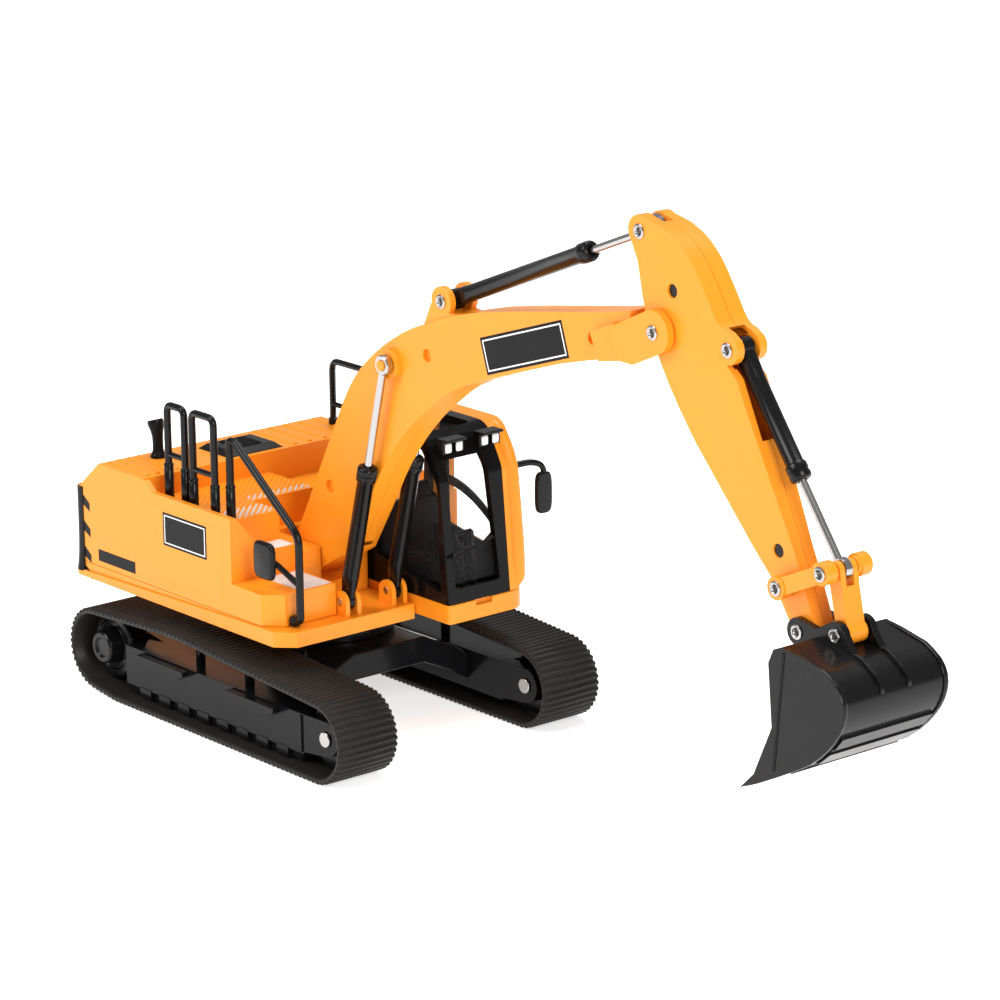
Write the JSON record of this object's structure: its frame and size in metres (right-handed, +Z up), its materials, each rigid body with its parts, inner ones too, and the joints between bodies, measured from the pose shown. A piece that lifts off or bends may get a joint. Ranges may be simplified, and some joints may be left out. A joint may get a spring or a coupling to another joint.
{
  "type": "toy excavator",
  "caption": "Crawler excavator toy with rubber belts, slewing house, cab with clear windows, and a jointed boom, arm and bucket with sliding cylinders.",
  "frame": {"origin": "middle of the bounding box at ground level, under the belts", "axes": "+X forward towards the bucket, +Y to the left, the side of the cab, +Z up"},
  "size_m": [0.3228, 0.0952, 0.173],
  "materials": {
    "yellow_plastic": "warm yellow moulded plastic, satin to gloss",
    "black_plastic": "black moulded plastic, semi-gloss",
    "black_die_cast": "gloss black paint on die-cast metal",
    "track_rubber": "dull black ribbed rubber",
    "bright_steel": "bright plated steel",
    "clear_plastic": "clear moulded plastic"
  },
  "bodies": {
    "undercarriage": {"carbody": "black_die_cast", "side_frame_right": "black_die_cast", "side_frame_left": "black_die_cast", "track_belt_right": "track_rubber", "track_belt_left": "track_rubber", "turntable_drum": "black_plastic", "front_axle_right": "bright_steel", "front_axle_left": "bright_steel", "slew_pin": "bright_steel"},
    "front_wheel_right": {"front_wheel_right": "black_plastic"},
    "front_wheel_left": {"front_wheel_left": "black_plastic"},
    "rear_wheel_right": {"rear_wheel_right": "black_plastic"},
    "rear_wheel_left": {"rear_wheel_left": "black_plastic"},
    "house": {"deck_plate": "yellow_plastic", "body_shell": "yellow_plastic", "hood_vent": "black_plastic", "exhaust_stack": "black_plastic", "handrail_rear": "black_plastic", "handrail_middle": "black_plastic", "handrail_front": "black_plastic", "handrail_left": "black_plastic", "boom_foot_pin": "bright_steel", "lift_base_pin_right": "bright_steel", "lift_base_pin_left": "bright_steel", "cab_base": "yellow_plastic", "cab_frame": "black_plastic", "cab_shell": "yellow_plastic", "cab_glazing": "clear_plastic", "driver_seat": "black_plastic", "control_console": "black_plastic", "lamp_bar_right": "black_plastic", "lamp_bar_left": "black_plastic", "wiper": "black_plastic", "mirror_left": "black_plastic"},
    "boom": {"boom_half_right": "yellow_plastic", "boom_half_left": "yellow_plastic", "arm_pivot_pin": "bright_steel", "arm_cylinder_base_pin": "bright_steel"},
    "arm": {"arm_half_right": "yellow_plastic", "arm_half_left": "yellow_plastic", "arm_screw_upper": "bright_steel", "arm_screw_lower": "bright_steel", "arm_cylinder_rod_pin": "bright_steel", "bucket_cylinder_base_pin": "bright_steel", "rocker_pin": "bright_steel"},
    "lift_barrel_right": {"lift_barrel_right": "black_plastic"},
    "lift_barrel_left": {"lift_barrel_left": "black_plastic"},
    "lift_rod_right": {"lift_rod_right": "bright_steel"},
    "lift_rod_left": {"lift_rod_left": "bright_steel"},
    "arm_barrel": {"arm_barrel": "black_plastic"},
    "arm_rod": {"arm_rod": "bright_steel"},
    "bucket_barrel": {"bucket_barrel": "black_plastic"},
    "bucket_rod": {"bucket_rod": "bright_steel"},
    "rocker": {"rocker_right": "yellow_plastic", "rocker_left": "yellow_plastic"},
    "bucket_link": {"bucket_link": "yellow_plastic"},
    "bucket": {"bucket": "black_plastic", "bucket_pivot_pin": "bright_steel", "bucket_link_pin": "bright_steel"}
  },
  "joints": [
    {"name": "slew", "type": "hinge", "parent": "undercarriage", "child": "house", "pos_m": [-0.08074, 0, 0.033], "axis": [0, 0, 1], "continuous": true},
    {"name": "boom_lift", "type": "hinge", "parent": "house", "child": "boom", "pos_m": [-0.07475, -0.007, 0.0505], "axis": [0, -1, 0], "range_deg": [-18, 6]},
    {"name": "arm_swing", "type": "hinge", "parent": "boom", "child": "arm", "pos_m": [0.07888, -0.007, 0.14354], "axis": [0, -1, 0], "range_deg": [-20, 16]},
    {"name": "bucket_curl", "type": "hinge", "parent": "arm", "child": "bucket", "pos_m": [0.13148, -0.007, 0.07474], "axis": [0, -1, 0], "range_deg": [-50, 10]},
    {"name": "lift_barrel_right_tilt", "type": "hinge", "parent": "house", "child": "lift_barrel_right", "pos_m": [-0.05224, -0.0154, 0.0415], "axis": [0, -1, 0], "range_deg": [-18.19, 6.26]},
    {"name": "lift_rod_right_tilt", "type": "hinge", "parent": "boom", "child": "lift_rod_right", "pos_m": [-0.03296, -0.0154, 0.1145], "axis": [0, -1, 0], "range_deg": [-0.335, 0.406]},
    {"name": "lift_barrel_left_tilt", "type": "hinge", "parent": "house", "child": "lift_barrel_left", "pos_m": [-0.05224, 0.0014, 0.0415], "axis": [0, -1, 0], "range_deg": [-18.19, 6.26]},
    {"name": "lift_rod_left_tilt", "type": "hinge", "parent": "boom", "child": "lift_rod_left", "pos_m": [-0.03296, 0.0014, 0.1145], "axis": [0, -1, 0], "range_deg": [-0.335, 0.406]},
    {"name": "arm_barrel_tilt", "type": "hinge", "parent": "boom", "child": "arm_barrel", "pos_m": [-0.01157, -0.007, 0.13576], "axis": [0, -1, 0], "range_deg": [-0.9, 0.78]},
    {"name": "arm_rod_slide", "type": "slide", "parent": "arm_barrel", "child": "arm_rod", "axis": [0.9288, 0, 0.3705], "range_m": [-0.00742, 0.0092]},
    {"name": "rocker_swing", "type": "hinge", "parent": "arm", "child": "rocker", "pos_m": [0.12568, -0.007, 0.08529], "axis": [0, -1, 0], "range_deg": [-37.4, 7.72]},
    {"name": "bucket_link_swing", "type": "hinge", "parent": "rocker", "child": "bucket_link", "pos_m": [0.14188, -0.007, 0.09269], "axis": [0, -1, 0], "range_deg": [-4.66, 22.1]},
    {"name": "bucket_barrel_tilt", "type": "hinge", "parent": "arm", "child": "bucket_barrel", "pos_m": [0.1045, -0.007, 0.14311], "axis": [0, -1, 0], "range_deg": [-4.42, 1.12]},
    {"name": "bucket_rod_tilt", "type": "hinge", "parent": "rocker", "child": "bucket_rod", "pos_m": [0.14188, -0.007, 0.09269], "axis": [0, -1, 0], "range_deg": [-6.89, 33.27]},
    {"name": "front_wheel_right_spin", "type": "hinge", "parent": "undercarriage", "child": "front_wheel_right", "pos_m": [-0.02675, -0.03735, 0.0122], "axis": [0, 1, 0], "continuous": true},
    {"name": "rear_wheel_right_spin", "type": "hinge", "parent": "undercarriage", "child": "rear_wheel_right", "pos_m": [-0.13475, -0.03735, 0.0139], "axis": [0, 1, 0], "continuous": true},
    {"name": "front_wheel_left_spin", "type": "hinge", "parent": "undercarriage", "child": "front_wheel_left", "pos_m": [-0.02675, 0.03735, 0.0122], "axis": [0, 1, 0], "continuous": true},
    {"name": "rear_wheel_left_spin", "type": "hinge", "parent": "undercarriage", "child": "rear_wheel_left", "pos_m": [-0.13475, 0.03735, 0.0139], "axis": [0, 1, 0], "continuous": true}
  ],
  "couplings": [
    {"joint": "lift_barrel_right_tilt", "follows": "boom_lift", "ratio": 0.9941},
    {"joint": "lift_rod_right_tilt", "follows": "boom_lift", "ratio": -0.0059},
    {"joint": "lift_barrel_left_tilt", "follows": "boom_lift", "ratio": 0.9941},
    {"joint": "lift_rod_left_tilt", "follows": "boom_lift", "ratio": -0.0059},
    {"joint": "arm_barrel_tilt", "follows": "arm_swing", "ratio": 0.03},
    {"joint": "arm_rod_slide", "follows": "arm_swing", "m_per_rad": -0.0255},
    {"joint": "rocker_swing", "follows": "bucket_curl", "ratio": 0.742},
    {"joint": "bucket_link_swing", "follows": "bucket_curl", "ratio": -0.436},
    {"joint": "bucket_barrel_tilt", "follows": "bucket_curl", "ratio": 0.0825},
    {"joint": "bucket_rod_tilt", "follows": "bucket_curl", "ratio": -0.6595},
    {"joint": "rear_wheel_right_spin", "follows": "front_wheel_right_spin", "ratio": 0.9657},
    {"joint": "rear_wheel_left_spin", "follows": "front_wheel_left_spin", "ratio": 0.9657}
  ]
}
